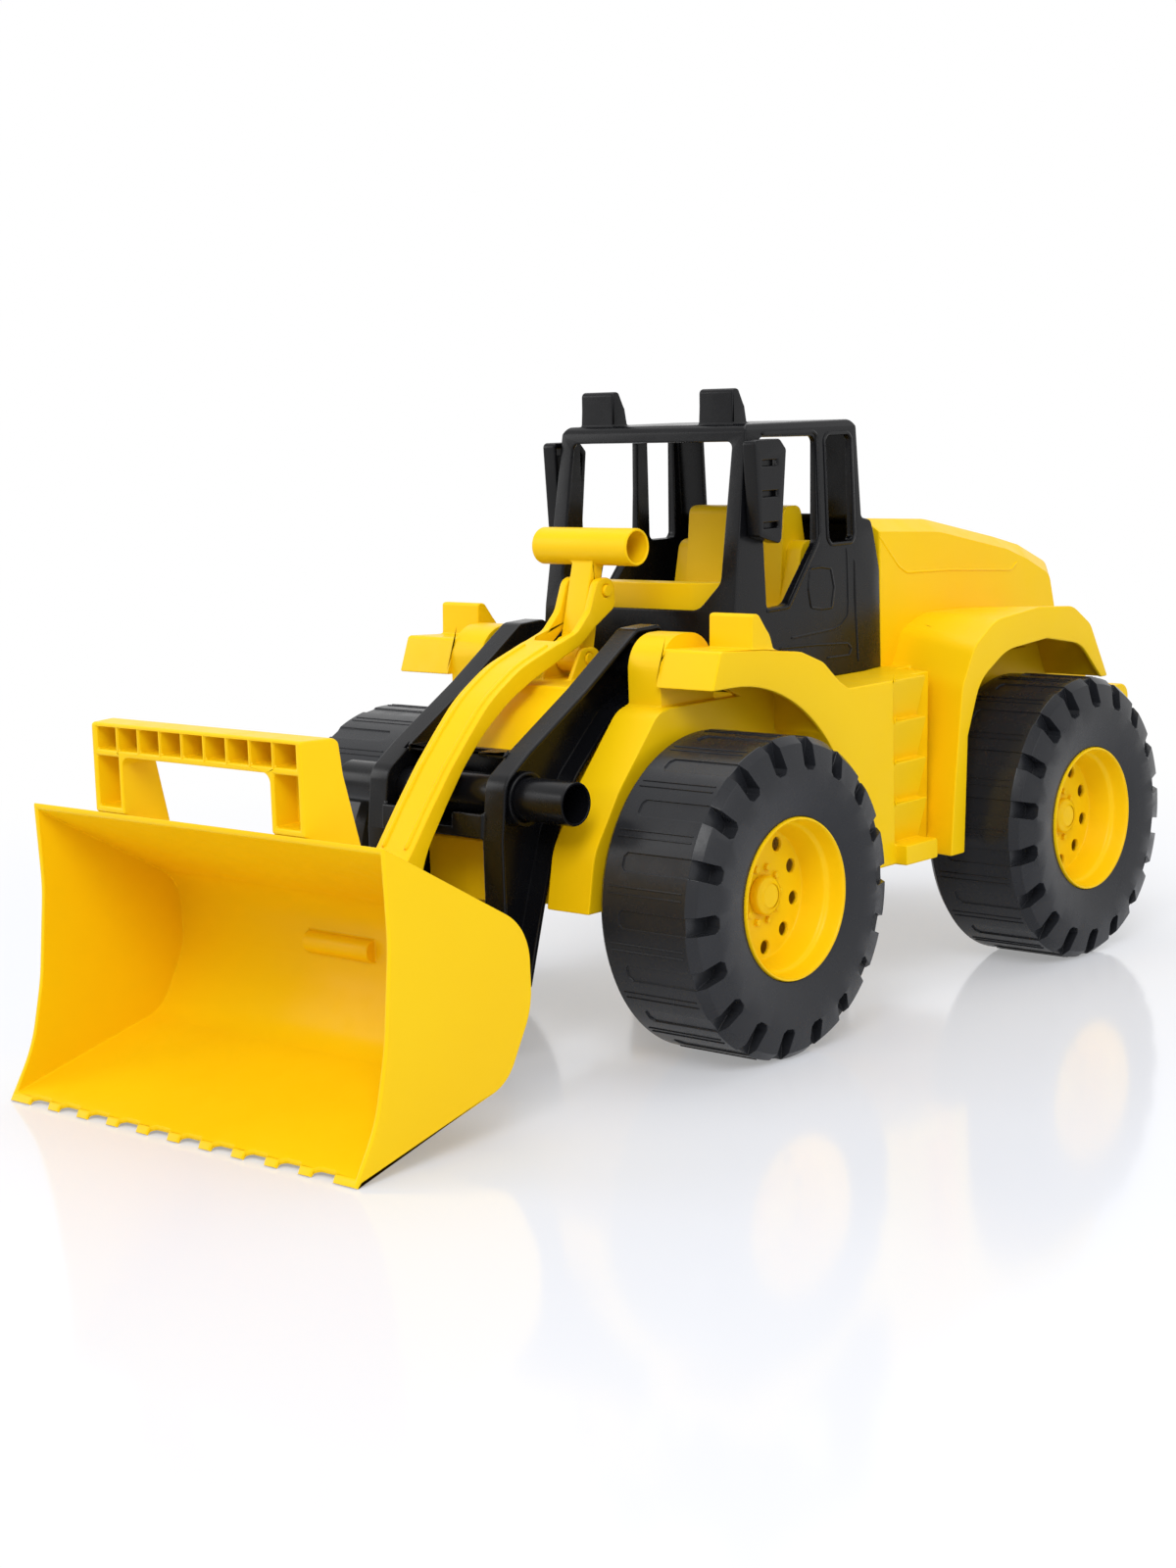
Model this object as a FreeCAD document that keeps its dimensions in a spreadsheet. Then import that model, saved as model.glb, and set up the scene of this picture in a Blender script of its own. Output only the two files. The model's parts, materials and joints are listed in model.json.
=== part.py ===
import FreeCAD, Part
import math
import os
import Sketcher
from types import SimpleNamespace

# A large sand-pit toy wheel loader, in millimetres.  +X is the driver's left, -Y is the front
# (the bucket), +Z is up.  Every outline below is drawn in the machine's own frame, whose zero
# is the front axle on the ground plane; each body then moves so that the middle of the overall
# length is at the origin.

SIZES = [
    # whole machine
    ("wheelbase", 309.5),
    ("wall", 3.0),
    ("running_gap", 0.08),
    # wheels
    ("tyre_radius", 88.4),
    ("tyre_width", 62.0),
    ("wheel_x", 127.0),
    ("shoulder_drop", 4.0),
    ("sidewall_bulge", 4.0),
    ("bead_radius", 45.1),
    ("lug_count", 18),
    ("lug_width", 10.0),
    ("lug_length", 14.0),
    ("lug_depth", 5.0),
    ("rim_radius", 44.8),
    ("rim_lip", 1.6),
    ("disc_depth", 24.6),
    ("disc_holes", 10),
    ("disc_hole_radius", 3.8),
    ("disc_hole_circle", 30.0),
    ("hub_radius", 8.0),
    ("cap_radius", 11.0),
    ("axle_radius", 3.0),
    ("axle_end", 10.6),
    # hull and nose
    ("hull_half", 85.0),
    ("hull_bottom", 86.0),
    ("deck_z", 190.0),
    ("nose_half", 34.0),
    ("nose_top", 201.0),
    ("shoulder_inner", 56.0),
    ("hump_outer", 80.0),
    ("hump_top", 229.0),
    # front fenders, sills, steps
    ("sill_half", 120.0),
    ("arch_radius", 111.0),
    ("fender_top", 222.0),
    ("sill_rear", 182.0),
    ("sill_bottom", 83.0),
    ("step_count", 4),
    ("lamp_inner", 88.5),
    ("lamp_outer", 119.0),
    ("lamp_top", 239.6),
    # hood, rear fenders, bumper
    ("hood_half", 70.0),
    ("hood_shoulder", 12.0),
    ("hood_top", 281.0),
    ("hood_rear", 428.0),
    ("rear_half", 130.0),
    ("bumper_half", 104.0),
    ("bumper_rear", 451.1),
    # cab
    ("cab_half", 75.5),
    ("roof_half", 70.5),
    ("cab_front", 58.0),
    ("cab_rear", 209.0),
    ("roof_z", 342.0),
    ("pillar_z", 332.0),
    ("cab_wall", 3.0),
    # loader linkage
    ("pivot_y", 4.0),
    ("pivot_z", 212.0),
    ("lever_reach_y", 14.0),
    ("lever_reach_z", 38.0),
    ("arm_reach_y", 170.0),
    ("arm_reach_z", 152.0),
    ("arm_inner", 37.0),
    ("arm_outer", 51.5),
    ("arm_web", 3.0),
    ("stub_end", 86.0),
    ("stub_radius", 12.1),
    ("stub_bore", 10.2),
    ("arm_pin_radius", 5.0),
    ("bucket_pin_radius", 4.0),
    ("link_pin_radius", 3.5),
    ("link_half", 14.0),
    ("stem_half", 8.0),
    ("grip_half", 36.0),
    ("grip_radius", 10.75),
    ("grip_bore", 8.75),
    # bucket
    ("bucket_half", 133.0),
    ("bucket_wall", 3.0),
    ("bucket_lip_y", 281.0),
    ("bucket_lip_z", 157.0),
    ("bucket_tip_y", 308.2),
    ("tooth_gaps", 10),
    ("tooth_depth", 5.5),
    ("handle_top", 203.0),
    ("handle_half", 88.0),
    ("handle_cells", 9),
]

doc = FreeCAD.newDocument("wheel_loader")
sheet = doc.addObject("Spreadsheet::Sheet", "Sizes")
for line, (alias, value) in enumerate(SIZES, start=1):
    sheet.set(f"A{line}", alias)
    sheet.set(f"B{line}", str(value))
    sheet.setAlias(f"B{line}", alias)
doc.recompute()


class Size:
    """A number with the formula that leads back to the sheet."""

    def __init__(self, number, formula):
        self.number = number
        self.formula = formula

    def __float__(self):
        return float(self.number)

    def __add__(self, other):
        other = size(other)
        return Size(self.number + other.number, f"({self.formula} + {other.formula})")

    def __sub__(self, other):
        other = size(other)
        return Size(self.number - other.number, f"({self.formula} - {other.formula})")

    def __mul__(self, other):
        other = size(other)
        return Size(self.number * other.number, f"({self.formula} * {other.formula})")

    def __truediv__(self, other):
        other = size(other)
        return Size(self.number / other.number, f"({self.formula} / {other.formula})")

    def __radd__(self, other):
        return size(other) + self

    def __rsub__(self, other):
        return size(other) - self

    def __rmul__(self, other):
        return size(other) * self

    def __neg__(self):
        return Size(-self.number, f"(0 - {self.formula})")


def size(value):
    return value if isinstance(value, Size) else Size(float(value), repr(float(value)))


s = SimpleNamespace(**{alias: Size(sheet.get(alias), f"Sizes.{alias}") for alias, _ in SIZES})

# the middle of the overall length, from the front axle
s.front_axle_y = (s.bucket_tip_y - s.bumper_rear) / 2


def bind(item, prop, value):
    """Give one property its value and, where it comes from the sheet, its formula."""
    value = size(value)
    if "." not in prop and "[" not in prop:
        setattr(item, prop, value.number)
    if "Sizes" in value.formula:
        item.setExpression(prop, value.formula)


# ---------------------------------------------------------------- drawing and feature helpers

X_PLANE = "YZ_Plane"
Y_PLANE = "XZ_Plane"
Z_PLANE = "XY_Plane"


def new_body(label, at_axle=True):
    body = doc.addObject("PartDesign::Body", label)
    body.Label = label
    if at_axle:
        body.setExpression("Placement.Base.y", s.front_axle_y.formula)
    return body


def origin_feature(body, role):
    return next(item for item in body.Origin.OriginFeatures if item.Role == role)


def new_sketch(body, plane, offset=0):
    """A sketch on one of the body's own planes, moved along the plane's normal."""
    sketch = body.newObject("Sketcher::SketchObject", f"{body.Label}_sketch")
    sketch.AttachmentSupport = [(origin_feature(body, plane), "")]
    sketch.MapMode = "FlatFace"
    offset = size(offset)
    base = FreeCAD.Vector(0, 0, offset.number)
    sketch.AttachmentOffset = FreeCAD.Placement(base, FreeCAD.Rotation())
    if "Sizes" in offset.formula:
        sketch.setExpression("AttachmentOffset.Base.z", offset.formula)
    return sketch


def fix(sketch, item, end, x, y):
    """Hold one end of a drawn item at a named place."""
    for kind, value in (("DistanceX", size(x)), ("DistanceY", size(y))):
        held = Sketcher.Constraint(kind, -1, 1, item, end, value.number)
        number = sketch.addConstraint(held)
        if "Sizes" in value.formula:
            sketch.setExpression(f"Constraints[{number}]", value.formula)


def outline(sketch, corners):
    """A closed outline of straight edges; a corner (x, y, r) is rounded by a tangent arc."""
    corners = [tuple(corner) + (0,) * (3 - len(corner)) for corner in corners]
    count = len(corners)
    points = [FreeCAD.Vector(float(c[0]), float(c[1]), 0) for c in corners]
    starts, ends, arcs = [], [], []
    for i, corner in enumerate(corners):
        radius = float(corner[2])
        into = (points[i] - points[i - 1]).normalize()
        out = (points[(i + 1) % count] - points[i]).normalize()
        if radius <= 0:
            starts.append(points[i])
            ends.append(points[i])
            arcs.append(None)
            continue
        turn = into.cross(out).z
        angle = math.atan2(turn, into.dot(out))
        tangent = radius * math.tan(abs(angle) / 2)
        start = points[i] - into * tangent
        end = points[i] + out * tangent
        side = 1 if turn > 0 else -1
        centre = start + FreeCAD.Vector(-into.y, into.x, 0) * radius * side
        first, last = (start, end) if side > 0 else (end, start)
        from_angle = math.atan2(first.y - centre.y, first.x - centre.x)
        to_angle = math.atan2(last.y - centre.y, last.x - centre.x)
        circle = Part.Circle(centre, FreeCAD.Vector(0, 0, 1), radius)
        starts.append(start)
        ends.append(end)
        arcs.append((Part.ArcOfCircle(circle, from_angle, to_angle), side))
    base = sketch.GeometryCount
    edges = [Part.LineSegment(ends[i], starts[(i + 1) % count]) for i in range(count)]
    sketch.addGeometry(edges, False)
    joints = []
    for i, arc in enumerate(arcs):
        before = base + (i - 1) % count
        after = base + i
        if arc is None:
            joints.append(Sketcher.Constraint("Coincident", before, 2, after, 1))
            continue
        shape, side = arc
        number = sketch.addGeometry(shape, False)
        first, last = (1, 2) if side > 0 else (2, 1)
        joints.append(Sketcher.Constraint("Tangent", before, 2, number, first))
        joints.append(Sketcher.Constraint("Tangent", number, last, after, 1))
        joints.append(Sketcher.Constraint("Radius", number, shape.Radius))
        point = sketch.addGeometry(Part.Point(points[i]), True)
        joints.append(Sketcher.Constraint("PointOnObject", point, 1, before))
        joints.append(Sketcher.Constraint("PointOnObject", point, 1, after))
        arcs[i] = point
    sketch.addConstraint(joints)
    for i, corner in enumerate(corners):
        if arcs[i] is None:
            fix(sketch, base + i, 1, corner[0], corner[1])
        else:
            fix(sketch, arcs[i], 1, corner[0], corner[1])
    return sketch


def circle(sketch, x, y, radius):
    """A full circle whose centre and radius come from named sizes."""
    radius = size(radius)
    centre = FreeCAD.Vector(float(x), float(y), 0)
    up = FreeCAD.Vector(0, 0, 1)
    number = sketch.addGeometry(Part.Circle(centre, up, radius.number), False)
    fix(sketch, number, 3, x, y)
    held = sketch.addConstraint(Sketcher.Constraint("Radius", number, radius.number))
    if "Sizes" in radius.formula:
        sketch.setExpression(f"Constraints[{held}]", radius.formula)
    return sketch


def swept(body, kind, sketch, length, both_ways, backwards):
    feature = body.newObject(f"PartDesign::{kind}", f"{body.Label}_{kind.lower()}")
    feature.Profile = sketch
    feature.SideType = "Symmetric" if both_ways else "One side"
    feature.Reversed = backwards
    bind(feature, "Length", length)
    feature.Refine = False
    return feature


def pad(body, sketch, length, both_ways=False, backwards=False):
    return swept(body, "Pad", sketch, length, both_ways, backwards)


def cut(body, sketch, length, both_ways=False, backwards=True):
    """A pocket; unless told otherwise it runs along the sketch's own normal."""
    return swept(body, "Pocket", sketch, length, both_ways, backwards)


def slab(body, corners, first_x, last_x):
    """Material between two distances from the middle plane, drawn from the side."""
    return pad(body, outline(new_sketch(body, X_PLANE, first_x), corners), last_x - first_x)


def hollow(body, corners, first_x, last_x):
    return cut(body, outline(new_sketch(body, X_PLANE, first_x), corners), last_x - first_x)


def centred_slab(body, corners, half_width):
    return pad(body, outline(new_sketch(body, X_PLANE), corners), half_width * 2, both_ways=True)


def centred_hollow(body, corners, half_width):
    return cut(body, outline(new_sketch(body, X_PLANE), corners), half_width * 2, both_ways=True)


def rod(body, y, z, radius, first_x, last_x):
    """A round bar along X."""
    return pad(body, circle(new_sketch(body, X_PLANE, first_x), y, z, radius), last_x - first_x)


def bore(body, y, z, radius, first_x, last_x):
    """A round hole along X."""
    return cut(body, circle(new_sketch(body, X_PLANE, first_x), y, z, radius), last_x - first_x)


def around(body, features, axis, count):
    """Copies of features, evenly spaced round one of the body's own axes."""
    ring = body.newObject("PartDesign::PolarPattern", f"{body.Label}_ring")
    ring.Originals = features
    ring.Axis = (origin_feature(body, axis), [""])
    ring.Angle = 360
    bind(ring, "Occurrences", count)
    ring.Occurrences = int(float(count))
    ring.Refine = False
    body.Tip = ring
    return ring


def turned(body, corners):
    """A body of revolution round the X axis; the outline is drawn as (x, radius)."""
    sketch = outline(new_sketch(body, Z_PLANE), corners)
    feature = body.newObject("PartDesign::Revolution", f"{body.Label}_turned")
    feature.Profile = sketch
    feature.ReferenceAxis = (origin_feature(body, "X_Axis"), [""])
    feature.Angle = 360
    feature.Refine = False
    return feature


def inset(corners, distance):
    """The same outline, drawn anticlockwise, moved inwards by a wall thickness."""
    numbers = [tuple(float(v) for v in corner) + (0,) * (3 - len(corner)) for corner in corners]
    count = len(numbers)
    moved = []
    for i in range(count):
        x0, y0, _ = numbers[i - 1]
        x1, y1, radius = numbers[i]
        x2, y2, _ = numbers[(i + 1) % count]
        a = math.atan2(y1 - y0, x1 - x0)
        b = math.atan2(y2 - y1, x2 - x1)
        middle = (a + b) / 2 if abs(b - a) <= math.pi else (a + b) / 2 + math.pi
        half = math.remainder(b - a, 2 * math.pi) / 2
        reach = float(distance) / math.cos(half)
        turn = 1 if half > 0 else -1
        rounded = max(radius - turn * float(distance), 0.5) if radius else 0
        x = x1 - math.sin(middle) * reach
        y = y1 + math.cos(middle) * reach
        moved.append((x, y, rounded))
    return moved


# ---------------------------------------------------------------- wheels

# name, side of the machine, place along it, and where the tyre's first notch stands
WHEELS = (
    ("front_left", 1, Size(0, "0"), -9.2),
    ("front_right", -1, Size(0, "0"), -9.2),
    ("rear_left", 1, s.wheelbase, -1.4),
    ("rear_right", -1, s.wheelbase, -1.4),
)


def place_on_axle(body, side, along, turn=0):
    """Wheel pieces are drawn round their own X axis, which points outwards."""
    facing = FreeCAD.Rotation(FreeCAD.Vector(0, 0, 1), 0 if side > 0 else 180)
    body.Placement.Rotation = facing * FreeCAD.Rotation(FreeCAD.Vector(1, 0, 0), turn)
    bind(body, "Placement.Base.x", s.wheel_x * side)
    bind(body, "Placement.Base.y", s.front_axle_y + along)
    bind(body, "Placement.Base.z", s.tyre_radius)


def tyre(name, side, along, turn):
    """Hollow moulding; its outer shoulder is notched, and each notch runs on into the tread."""
    body = new_body(f"tyre_{name}", at_axle=False)
    half = s.tyre_width / 2
    tread, bead, wall = s.tyre_radius, s.bead_radius, s.wall
    shoulder = tread - s.shoulder_drop
    foot = shoulder - s.lug_length
    widest = half + s.sidewall_bulge
    floor = half - s.lug_depth
    turned(body, [
        (half + 0.3, bead),
        (widest - 0.6, bead + 15),
        (widest, foot),
        (half, shoulder),
        (floor, tread),
        (-half + 1, tread),
        (-widest + 0.6, shoulder),
        (-widest + 0.6, bead + 12),
        (-half - 1, bead),
        (-half + 2, bead),
        (-widest + 0.6 + wall, bead + 12),
        (-widest + 0.6 + wall, tread - 4),
        (floor - wall, tread - 4),
        (floor - wall, foot - 3),
        (widest - 4.5, bead + 16),
        (half - wall, bead),
    ])
    reach = s.lug_width / 2
    bevel = 2.2
    notch = outline(new_sketch(body, X_PLANE, widest + 1), [
        (-reach, foot + bevel),
        (-reach + bevel, foot),
        (reach - bevel, foot),
        (reach, foot + bevel),
        (reach, tread + 4),
        (-reach, tread + 4),
    ])
    notched = cut(body, notch, widest + 1 - floor, backwards=False)
    start = -half + 12
    recess = outline(new_sketch(body, Z_PLANE, tread - 1.0), [
        (start, -reach + bevel),
        (start + bevel, -reach),
        (half + 2, -reach),
        (half + 2, reach),
        (start + bevel, reach),
        (start, reach - bevel),
    ])
    recessed = cut(body, recess, 4)
    around(body, [notched, recessed], "X_Axis", s.lug_count)
    place_on_axle(body, side, along, turn)


def rim(name, side, along):
    """Dished disc with a barrel for the tyre, a long hub and a ring of holes."""
    body = new_body(f"rim_{name}", at_axle=False)
    half = s.tyre_width / 2
    edge = half + s.rim_lip
    disc = edge - s.disc_depth
    hole = s.axle_radius + s.running_gap
    outer = s.rim_radius
    turned(body, [
        (-half - 1, hole),
        (disc, hole),
        (disc, outer - 8.4),
        (disc + 14, outer - 5.2),
        (disc + 15, outer - 3.4),
        (edge, outer - 1.7),
        (edge, outer),
        (-half + 3, outer),
        (-half + 3, outer - 2.5),
        (disc - 3, outer - 2.5),
        (disc - 3, s.hub_radius),
        (-half - 1, s.hub_radius),
    ])
    tilt = math.radians(-12.6)
    across = s.disc_hole_circle * math.cos(tilt)
    down = s.disc_hole_circle * math.sin(tilt)
    holes = circle(new_sketch(body, X_PLANE, disc - 6), across, down, s.disc_hole_radius)
    opened = cut(body, holes, 12)
    around(body, [opened], "X_Axis", s.disc_holes)
    place_on_axle(body, side, along)


def hub_cap(name, side, along):
    body = new_body(f"hub_cap_{name}", at_axle=False)
    disc = s.tyre_width / 2 + s.rim_lip - s.disc_depth
    face = disc + 6
    turned(body, [
        (disc, s.cap_radius - 3.6),
        (disc, s.cap_radius),
        (face - 1.2, s.cap_radius),
        (face, s.cap_radius - 1.2),
        (face, 7.6),
        (face + 0.8, 7),
        (face + 0.8, 0),
        (face - 1.5, 0),
        (face - 1.5, s.cap_radius - 3.6),
    ])
    place_on_axle(body, side, along)


def axle(name, along):
    body = new_body(f"{name}_axle", at_axle=False)
    end = s.wheel_x + s.axle_end
    rod(body, along, s.tyre_radius, s.axle_radius, -end, end)
    bind(body, "Placement.Base.y", s.front_axle_y)


def axle_nuts(name, along):
    """The two pressed cap nuts that keep a pair of wheels on their axle."""
    body = new_body(f"axle_nuts_{name}", at_axle=False)
    disc = s.wheel_x + s.tyre_width / 2 + s.rim_lip - s.disc_depth
    for side in (1, -1):
        low = disc + 0.2 if side > 0 else -disc - 2.2
        rod(body, along, s.tyre_radius, 6, low, low + 2)
    bore(body, along, s.tyre_radius, s.axle_radius, -disc - 5, disc + 5)
    bind(body, "Placement.Base.y", s.front_axle_y)


# ---------------------------------------------------------------- body moulding

def both(first, last):
    """The same band of X on the left and on the right."""
    return ((first, last), (-last, -first))


FENDER_FACE = [
    (194, 79),
    (209, 79),
    (214, 150),
    (228, 182, 30),
    (258, 198, 45),
    (305, 201),
    (346, 194, 30),
    (371, 170),
    (379, 170),
    (358, 206, 15),
    (337, 219, 20),
    (296, 222),
    (246, 218, 35),
    (222, 204, 25),
    (208, 180, 20),
    (199, 122),
]

FENDER_ROOT = FENDER_FACE[:8] + [
    (379, 170),
    (366, 200, 15),
    (346, 213, 20),
    (300, 219),
    (258, 220, 30),
    (233, 212, 14),
    (221, 190, 20),
    (207, 122),
]
FENDER_ROOT[0] = (205, 79)


def part_way(first, second, share):
    """Corners a share of the way from one outline to another."""
    return [
        tuple(a + (b - a) * share for a, b in zip(one, other))
        for one, other in zip(first, second)
    ]


def loft(body, kind, near_x, near, far_x, far):
    feature = body.newObject(f"PartDesign::{kind}", f"{body.Label}_loft")
    feature.Profile = outline(new_sketch(body, X_PLANE, near_x), near)
    feature.Sections = [outline(new_sketch(body, X_PLANE, far_x), far)]
    feature.Ruled = True
    feature.Refine = False
    return feature


def rear_fenders(body):
    for side in (1, -1):
        loft(body, "AdditiveLoft", side * (s.hood_half - 2), FENDER_ROOT,
             side * s.rear_half, FENDER_FACE)
    deck, rear = s.deck_z, s.cab_rear + 0.2
    centred_hollow(body, [(120, deck), (rear, deck), (rear, deck + 50), (120, deck + 50)],
                   s.cab_half + 0.1)


def rear_fender_hollows(body):
    """The wheel space under each rear fender, open towards the ground."""
    wall = 3
    inner_x, outer_x = s.hull_half, s.rear_half - wall
    for side in (1, -1):
        sections = []
        for x in (inner_x, outer_x):
            share = float((x - s.hood_half + 2) / (s.rear_half - s.hood_half + 2))
            roof = part_way(FENDER_ROOT, FENDER_FACE, share)
            ring = [(roof[0][0] - 3, 50), (300, 50), (385, 155)] + roof[9:]
            sections.append(inset(ring, wall))
        loft(body, "SubtractiveLoft", side * inner_x, sections[0], side * outer_x, sections[1])


def front_fender_outline():
    arch = s.arch_radius
    return [
        (arch, s.sill_bottom - 3),
        (150, s.sill_bottom - 3),
        (150, s.deck_z),
        (106, s.deck_z, 6),
        (97, 195, 10),
        (82, s.fender_top - 14.5, 14),
        (62, s.fender_top - 7, 20),
        (27, s.fender_top - 2.3, 60),
        (-11, s.fender_top, 3),
        (-19, arch + 90),
        (arch, arch + 90, arch),
    ]


def front_fenders(body):
    arch = s.arch_radius
    top = s.fender_top - 3
    for first, last in both(s.hump_outer, s.sill_half):
        slab(body, front_fender_outline(), first, last)
    for first, last in both(s.hull_half - 4, s.sill_half - 10):
        slab(body, [
            (149, s.sill_bottom - 3),
            (198, s.sill_bottom - 3),
            (202, s.deck_z),
            (149, s.deck_z),
        ], first, last)
    for first, last in both(s.hull_half, s.sill_half - 3):
        hollow(body, [
            (-16, 190),
            (80, 140),
            (80, top - 14),
            (61, top - 7),
            (27, top - 2.3),
            (-9, top),
            (-15.5, arch + 90),
        ], first, last)
        hollow(body, [
            (arch + 3, 60),
            (150, 60),
            (150, s.deck_z - 3),
            (104, s.deck_z - 3),
            (95.5, 192),
            (83, top - 18),
            (83, 169.5),
            (92, 159),
            (105, 136),
            (arch + 3, 100),
        ], first, last)
    for first, last in both(s.hull_half, s.sill_half - 13):
        hollow(body, [(146, 60), (196, 60), (198, s.deck_z - 3), (146, s.deck_z - 3)],
               first, last)


def steps(body):
    """Footholds let into the side behind each front wheel, over a proud bottom step."""
    foot, top = s.sill_bottom + 9, s.deck_z
    pitch = (top - foot) / s.step_count
    count = int(float(s.step_count))
    for side in (1, -1):
        edge = s.sill_half + 1
        corners = [(side * (edge - 14), s.sill_bottom - 3), (side * (edge + 7), s.sill_bottom - 3)]
        corners += [(side * (edge + 7), foot)]
        for level in range(count):
            corners += [(side * (edge - 7), foot + pitch * level)]
            corners += [(side * edge, foot + pitch * (level + 1))]
        corners += [(side * (edge - 14), top)]
        pad(body, outline(new_sketch(body, Y_PLANE, -150), corners), 33, backwards=True)


def lamps(body):
    """Boxy lamp housings on the front fenders."""
    top = s.lamp_top
    for first, last in both(s.lamp_inner, s.lamp_outer):
        slab(body, [(17, top - 24), (50, top - 26), (46, top - 12, 14), (33, top, 4),
                    (18, top, 2)], first, last)
    for first, last in both(s.lamp_inner + 2.5, s.lamp_outer - 2.5):
        hollow(body, [(20, 200), (46, 200), (43, top - 15), (31.5, top - 3), (20.5, top - 3)],
               first, last)


def humps(body):
    """Ears that carry the outer ends of the arm pivot pins."""
    for first, last in both(s.shoulder_inner, s.hump_outer):
        slab(body, [(-15, 182), (31, 182), (31, s.hump_top, 20), (-15, s.hump_top, 20)],
             first, last)


def hump_hollows(body):
    for first, last in both(s.shoulder_inner + 3, s.hump_outer - 3):
        hollow(body, [(-12, 180), (28, 180), (28, s.hump_top - 3, 17),
                      (-12, s.hump_top - 3, 17)], first, last)
    for first, last in both(s.shoulder_inner - 3, s.hump_outer - 1.5):
        bore(body, s.pivot_y, s.pivot_z, s.arm_pin_radius, first, last)


def arm_slots(body):
    """The two deep slots that the lift arms sink into."""
    well = 40
    for first, last in both(s.arm_inner - 1.5, s.arm_outer + 3):
        hollow(body, [
            (-100, 60),
            (-84, 60),
            (-63, 124),
            (-40, 158),
            (-12, s.pivot_z - well),
            (s.pivot_y + well, s.pivot_z - well, well),
            (s.pivot_y + well, 240),
            (-100, 240),
        ], first, last)


def hood_outline(foot):
    top, rear = s.hood_top, s.hood_rear
    return [
        (209.2, foot),
        (rear, foot),
        (rear, top - 66, 10),
        (rear - 7, top - 41, 10),
        (rear - 42, top - 27, 18),
        (356, top - 20, 30),
        (276, top - 4, 60),
        (209.2, top),
    ]


def hood(body):
    """The hood, with shoulders that fall away to its sides and round to its rear."""
    top, rear, edge = s.hood_top, s.hood_rear, s.hood_half - s.hood_shoulder
    centred_slab(body, hood_outline(180), edge)
    for side in (1, -1):
        loft(body, "AdditiveLoft", side * edge, hood_outline(180), side * s.hood_half, [
            (209.2, 180),
            (rear - 16, 180),
            (rear - 16, top - 70, 10),
            (rear - 22, top - 48, 10),
            (rear - 50, top - 36, 18),
            (354, top - 28, 30),
            (275, top - 12, 60),
            (209.2, top - 8),
        ])


def body_hollows(body):
    """The space inside the moulding, open at the bottom."""
    deck, half, wall, rear = s.deck_z, s.hull_half, s.wall, s.hood_rear
    centred_hollow(body, [
        (-81, 60),
        (rear - wall, 60),
        (rear - wall, deck - wall),
        (41, deck - wall),
        (33, deck - 11),
        (16, deck - 20),
        (-9, deck - 21),
        (-37, 155.5),
        (-60, 122),
    ], half - wall)
    centred_hollow(body, [
        (-83, 60),
        (54.5, 60),
        (54.5, s.nose_top - wall),
        (-36.5, s.nose_top - wall),
        (-38.8, s.nose_top - 7.4),
        (-53, deck - 4.6),
        (-69, 166.3),
        (-71, 121.5),
        (-83, 117.4),
    ], s.nose_half - wall)
    for first, last in both(s.arm_outer + 6, half - wall):
        hollow(body, [
            (-83, 60),
            (45, 60),
            (45, deck - wall),
            (-21.5, deck - wall, 18),
            (-55.5, deck - 41.5, 22),
            (-77, deck - 72.5, 27),
        ], first, last)
    centred_hollow(body, inset(hood_outline(170), 8), s.hood_half - 9)
    centred_hollow(body, [
        (418, 60),
        (s.bumper_rear - wall, 60),
        (s.bumper_rear - wall, 154, 6),
        (418, 154),
    ], s.bumper_half - wall)


def lever_cheeks(body):
    for first, last in both(s.stem_half + 1, s.stem_half + 4):
        slab(body, [
            (-14, s.nose_top - 1),
            (22, s.nose_top - 1),
            (s.pivot_y + 6.5, s.pivot_z + 6.5, 6.4),
            (s.pivot_y - 6.5, s.pivot_z + 6.5, 6.4),
        ], first, last)
    reach = s.stem_half + 6
    bore(body, s.pivot_y, s.pivot_z, s.link_pin_radius, -reach, reach)


def axle_bosses(body):
    for along in (Size(0, "0"), s.wheelbase):
        for first, last in both(s.hull_half - s.wall, s.wheel_x - s.tyre_width / 2 - 1.3):
            rod(body, along, s.tyre_radius, 9, first, last)
        reach = s.wheel_x
        bore(body, along, s.tyre_radius, s.axle_radius, -reach, reach)


def body_shell():
    body = new_body("body_shell")
    deck, foot, rear = s.deck_z, s.hull_bottom, s.hood_rear
    centred_slab(body, [
        (-86, foot),
        (330, foot),
        (rear, foot + 9),
        (rear, deck),
        (-22, deck, 20),
        (-58, deck - 40, 25),
        (-80, deck - 72, 30),
    ], s.hull_half)
    centred_slab(body, [
        (-86, foot),
        (57.5, foot),
        (57.5, s.nose_top),
        (-38, s.nose_top, 3),
        (-41, s.nose_top - 5),
        (-55, deck - 2),
        (-72, 168),
        (-74, 124),
        (-86, 120, 2),
    ], s.nose_half)
    centred_slab(body, [
        (415, 94),
        (s.bumper_rear, 94, 6),
        (s.bumper_rear, 157, 9),
        (415, 157),
    ], s.bumper_half)
    hood(body)
    humps(body)
    body_hollows(body)
    hump_hollows(body)
    arm_slots(body)
    lever_cheeks(body)
    axle_bosses(body)
    front_fenders(body)
    lamps(body)
    steps(body)
    rear_fenders(body)
    rear_fender_hollows(body)


# ---------------------------------------------------------------- cab

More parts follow.
